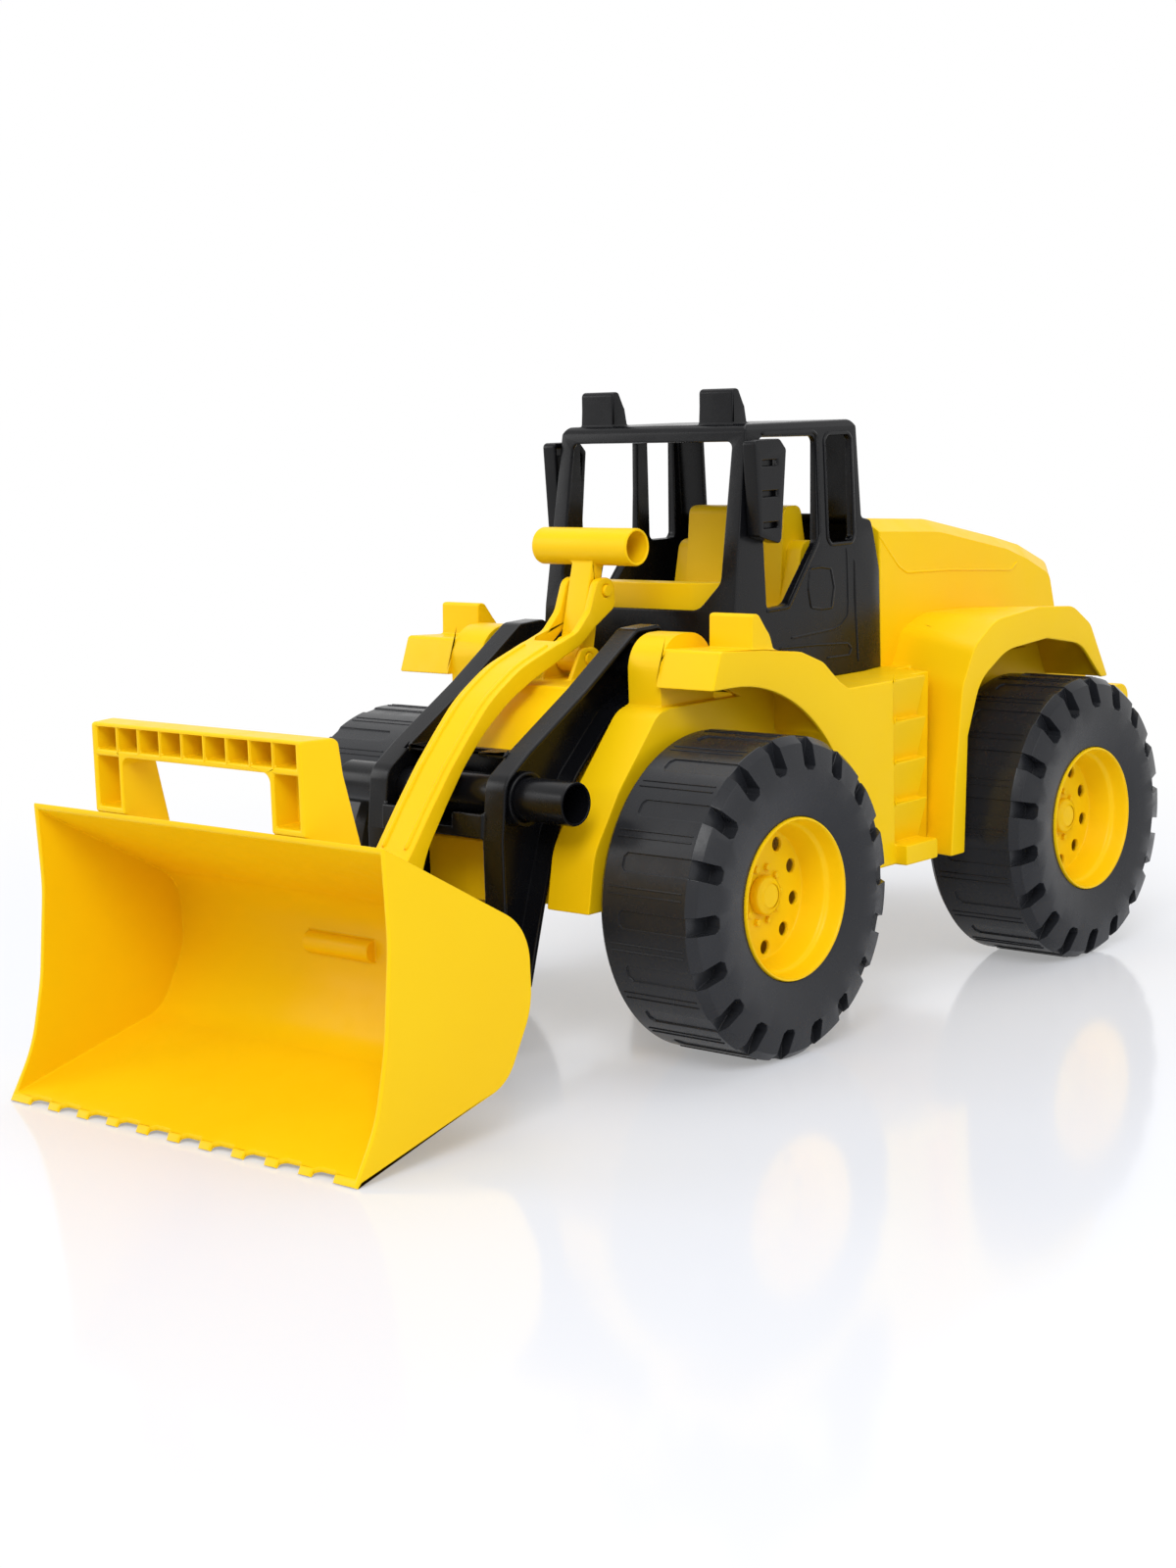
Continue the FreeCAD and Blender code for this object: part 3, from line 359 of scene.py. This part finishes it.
def moulding(node, edge, shape=None):
    """The shape of a node with the small round that a mould leaves on every edge."""
    source = frame["nodes"][node]
    piece = bpy.data.objects.new(node + "_moulding", source.data.copy())
    bpy.context.scene.collection.objects.link(piece)
    alone(piece)
    bpy.ops.mesh.customdata_custom_splitnormals_clear()
    bpy.ops.object.mode_set(mode="EDIT")
    bpy.ops.mesh.select_all(action="SELECT")
    bpy.ops.mesh.remove_doubles(threshold=WELD)
    bpy.ops.mesh.mark_sharp(clear=True)
    bpy.ops.mesh.dissolve_limited(angle_limit=FLAT)
    if shape:
        shape(piece)
    bpy.ops.mesh.select_all(action="SELECT")
    bpy.ops.mesh.vert_connect_concave()
    mark_soft_edges(piece)
    bpy.ops.object.mode_set(mode="OBJECT")
    soft = piece.modifiers.new("soft edge", "BEVEL")
    soft.width = edge
    soft.segments = 2
    soft.limit_method = "WEIGHT"
    soft.use_clamp_overlap = False
    soft.loop_slide = False
    bpy.ops.object.modifier_apply(modifier=soft.name)
    bpy.ops.object.shade_smooth_by_angle(angle=SMOOTH)
    even = piece.modifiers.new("even shading", "WEIGHTED_NORMAL")
    even.keep_sharp = True
    bpy.ops.object.modifier_apply(modifier=even.name)
    return piece


SHAPES = {"body_shell": shape_body, "cab_shell": shape_cab}
BODIES = frame["record"]["behaviour"]["bodies"]
CARRIER = {node: body for body, nodes in BODIES.items() for node in nodes}


def soften_all(finishes):
    """Every moulded node gets its softened copy; pins and axles stay as they are."""
    for part in frame["record"]["subparts"]:
        node, slot = part["node"], part["material_slot"]
        if slot == "axle_steel":
            continue
        edge = SEAT_EDGE if node == "cab_interior" else EDGE
        if node.startswith("tyre"):
            edge = TYRE_EDGE
        piece = moulding(node, edge, SHAPES.get(node))
        piece.data.materials.clear()
        piece.data.materials.append(finishes[slot])
        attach(piece, CARRIER[node])
        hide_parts(node)


# ---------------------------------------------------------------- raised lines

def finished(piece, name, body, slot, finishes):
    """Names a new piece, fixes its place in its mesh, and gives it its body and finish."""
    piece.name = name
    alone(piece)
    bpy.ops.object.transform_apply(location=True, rotation=True, scale=True)
    bpy.ops.object.shade_smooth_by_angle(angle=SMOOTH)
    piece.data.materials.clear()
    piece.data.materials.append(finishes[slot])
    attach(piece, body)


def raised_line(points, radius, closed):
    """A round bead that follows a line of places."""
    bpy.ops.object.select_all(action="DESELECT")
    bpy.ops.mesh.primitive_plane_add(size=MM, location=points[0])
    bead = bpy.context.object
    bpy.ops.object.transform_apply(location=True, rotation=True, scale=True)
    bpy.ops.object.mode_set(mode="EDIT")
    bpy.ops.mesh.select_mode(type="VERT")
    bpy.ops.mesh.select_all(action="SELECT")
    bpy.ops.mesh.merge(type="CENTER")
    for here, there in zip(points, points[1:]):
        step = there - here
        bpy.ops.mesh.extrude_region_move(TRANSFORM_OT_translate={"value": step})
    bpy.ops.object.mode_set(mode="OBJECT")
    if closed:
        close_line(bead)
    skin = bead.modifiers.new("round bead", "SKIN")
    for corner in bead.data.skin_vertices[0].data:
        corner.radius = (radius, radius)
    bpy.ops.object.modifier_apply(modifier=skin.name)
    smooth = bead.modifiers.new("smooth bead", "SUBSURF")
    smooth.levels = 1
    smooth.render_levels = 1
    bpy.ops.object.modifier_apply(modifier=smooth.name)
    return bead


def close_line(bead):
    """Joins the two free ends of a line of edges."""
    last = len(bead.data.vertices) - 1
    bpy.ops.object.mode_set(mode="EDIT")
    bpy.ops.mesh.select_mode(type="VERT")
    bpy.ops.mesh.select_all(action="DESELECT")
    bpy.ops.object.mode_set(mode="OBJECT")
    bead.data.vertices[0].select = True
    bead.data.vertices[last].select = True
    bpy.ops.object.mode_set(mode="EDIT")
    bpy.ops.mesh.edge_face_add()
    bpy.ops.object.mode_set(mode="OBJECT")


def at(x, y, z):
    """A place in millimetres from the front axle on the ground."""
    return Vector((x * MM, y * MM + AXLE_Y, z * MM))


def cab_side(z):
    """How far the cab's side stands from the middle at a height."""
    if z < 236:
        return 75.5 - 2.5 * (z - 189) / 47
    return 73 - 2.5 * (z - 236) / 102


# Each line's (y, z) places in millimetres, its radius, and whether its ends meet.
CAB_LINES = [
    ([(171.5, 266), (172, 260), (171.5, 233.7), (170, 225), (162.3, 219.7), (154, 218), (112, 216.4)],
     1.0, False),
    ([(100, 211.5), (138, 210.2), (168, 208.3), (172, 205), (169, 201), (146, 201.4)], 1.0, False),
    ([(134.5, 255.7), (145, 256), (155, 254.3), (157.7, 242.6), (154.4, 230.9), (144, 231), (134, 232.6),
      (132, 244.3)], 1.1, True),
    ([(179.5, 259), (178.5, 226), (178, 196)], 1.1, False),
    ([(90.3, 234), (111.9, 234.6), (126, 251), (141, 268), (145.2, 274), (145.4, 334), (142, 336),
      (92, 336)], 1.5, False),
    ([(153, 272), (156, 268.4), (177, 268.4), (180.2, 272), (180.2, 331), (177, 334.2),
      (156, 334.2), (153, 331)], 1.5, True),
]

HOOD_SIDE = 70.0
HOOD_LINES = [
    ([(209.6, 270), (218, 261.8), (230, 250.1), (238.8, 246), (284.7, 244.5), (322.2, 241.9),
      (358, 239.3), (366, 244)], 1.1, False),
]


LINK_RIM = 9.0
LINK_LINES = [
    ([(-146, 123.4), (-138.2, 133.5), (-123.4, 152.4), (-114, 164), (-105.5, 173), (-94.1, 184.9),
      (-84.8, 193.8), (-78.2, 199), (-68.4, 205.3), (-55.8, 212.5), (-49, 215.3), (-36.6, 219.5),
      (-28, 222.4)], 1.5, False),
]


def side_lines(name, lines, reach, body, slot, finishes):
    """Raised lines drawn as (y, z) on both sides of the machine, joined into one piece."""
    beads = []
    for side in (1, -1):
        for points, radius, closed in lines:
            places = [at(side * (reach(z) - radius * 0.35), y, z) for y, z in points]
            beads.append(raised_line(places, radius * MM, closed))
    alone(beads[0])
    for bead in beads:
        bead.select_set(True)
    bpy.ops.object.join()
    finished(bpy.context.object, name, body, slot, finishes)


# ---------------------------------------------------------------- wheels

# Each wheel's side, its distance behind the front axle, and how far its pattern is turned.
WHEEL_PLACES = {
    "wheel_front_left": (1, 0.0, 9.2),
    "wheel_front_right": (-1, 0.0, -9.2),
    "wheel_rear_left": (1, 309.5, 1.4),
    "wheel_rear_right": (-1, 309.5, -1.4),
}
AXLE_Z = 88.4
WHEEL_X = 127.0
TREAD_STEPS = 18
RIB_REACH = 88.45
RIB_LENGTH = 50
RIB_WIDTH = 0.9
RIB_EDGE = 0.25
NUT_COUNT = 10
NUT_RING = 15.4
NUT_RADIUS = 2.0
NUT_DEPTH = 3
NUT_EDGE = 0.45


def ring_of(piece, count, middle):
    """Copies a piece in edit mode, evenly spaced round a wheel's axle."""
    alone(piece)
    bpy.ops.object.transform_apply(location=True, rotation=True, scale=True)
    bpy.ops.object.mode_set(mode="EDIT")
    bpy.ops.mesh.select_all(action="SELECT")
    turn = math.tau * (count - 1) / count
    bpy.ops.mesh.spin(steps=count - 1, dupli=True, angle=turn, center=middle, axis=(1, 0, 0))
    bpy.ops.object.mode_set(mode="OBJECT")


def tread_ribs(body, side, along, phase, finishes):
    """The pair of thin ribs that crosses the tread between every two recesses."""
    middle = at(side * WHEEL_X, along, AXLE_Z)
    ribs = []
    for lean in (-1.25, 1.25):
        angle = math.radians(phase + 180 / TREAD_STEPS + lean)
        out = Vector((side * -1.5, math.sin(angle) * RIB_REACH, math.cos(angle) * RIB_REACH)) * MM
        bpy.ops.object.select_all(action="DESELECT")
        bpy.ops.mesh.primitive_cube_add(size=1, location=middle + out, rotation=(-angle, 0, 0),
                                        scale=(RIB_LENGTH * MM, RIB_WIDTH * MM, RIB_WIDTH * MM))
        rib = bpy.context.object
        bpy.ops.object.mode_set(mode="EDIT")
        bpy.ops.mesh.select_all(action="SELECT")
        bpy.ops.mesh.bevel(offset=RIB_EDGE * MM, segments=1)
        bpy.ops.object.mode_set(mode="OBJECT")
        ring_of(rib, TREAD_STEPS, middle)
        ribs.append(rib)
    alone(ribs[0])
    ribs[1].select_set(True)
    bpy.ops.object.join()
    finished(bpy.context.object, body + "_tread_ribs", body, "tyre_plastic", finishes)


def hub_nuts(body, side, along, finishes):
    """The ring of low nut heads round the hub."""
    middle = at(side * WHEEL_X, along, AXLE_Z)
    place = middle + Vector((side * 8.6, NUT_RING, 0)) * MM
    bpy.ops.object.select_all(action="DESELECT")
    bpy.ops.mesh.primitive_cylinder_add(vertices=12, radius=NUT_RADIUS * MM, depth=NUT_DEPTH * MM,
                                        location=place, rotation=(0, math.radians(90), 0))
    nut = bpy.context.object
    bpy.ops.object.mode_set(mode="EDIT")
    bpy.ops.mesh.select_all(action="SELECT")
    bpy.ops.mesh.bevel(offset=NUT_EDGE * MM, segments=2)
    bpy.ops.object.mode_set(mode="OBJECT")
    ring_of(nut, NUT_COUNT, middle)
    finished(nut, body + "_hub_nuts", body, "yellow_plastic", finishes)


def mirror_backs(finishes):
    """The plate behind each mirror's slots."""
    for name, side in (("left", 1), ("right", -1)):
        bpy.ops.object.select_all(action="DESELECT")
        bpy.ops.mesh.primitive_cube_add(size=1, location=at(side * 77.6, 85.5, 302),
                                        scale=(0.9 * MM, 15 * MM, 46 * MM))
        plate = bpy.context.object
        bpy.ops.object.mode_set(mode="EDIT")
        bpy.ops.mesh.select_all(action="SELECT")
        bpy.ops.mesh.bevel(offset=0.3 * MM, segments=1)
        bpy.ops.object.mode_set(mode="OBJECT")
        finished(plate, "mirror_" + name + "_back", "chassis", "black_plastic", finishes)


def add_details(finishes):
    side_lines("cab_lines", CAB_LINES, cab_side, "chassis", "black_plastic", finishes)
    side_lines("hood_lines", HOOD_LINES, lambda z: HOOD_SIDE, "chassis", "yellow_plastic", finishes)
    side_lines("link_rims", LINK_LINES, lambda z: LINK_RIM, "link", "yellow_plastic", finishes)
    for body, (side, along, phase) in WHEEL_PLACES.items():
        tread_ribs(body, side, along, phase, finishes)
        hub_nuts(body, side, along, finishes)
    mirror_backs(finishes)


# ---------------------------------------------------------------- making

bpy.context.scene.view_settings.view_transform = "Standard"
look_from("photo view", (983.70 * MM, -1094.85 * MM + AXLE_Y, 360.01 * MM), 41.617, 8.538,
          -1.799, PHOTO_REACH / PHOTO_HEIGHT * SENSOR)
finishes = materials()
dress(finishes)
soften_all(finishes)
add_details(finishes)
studio()
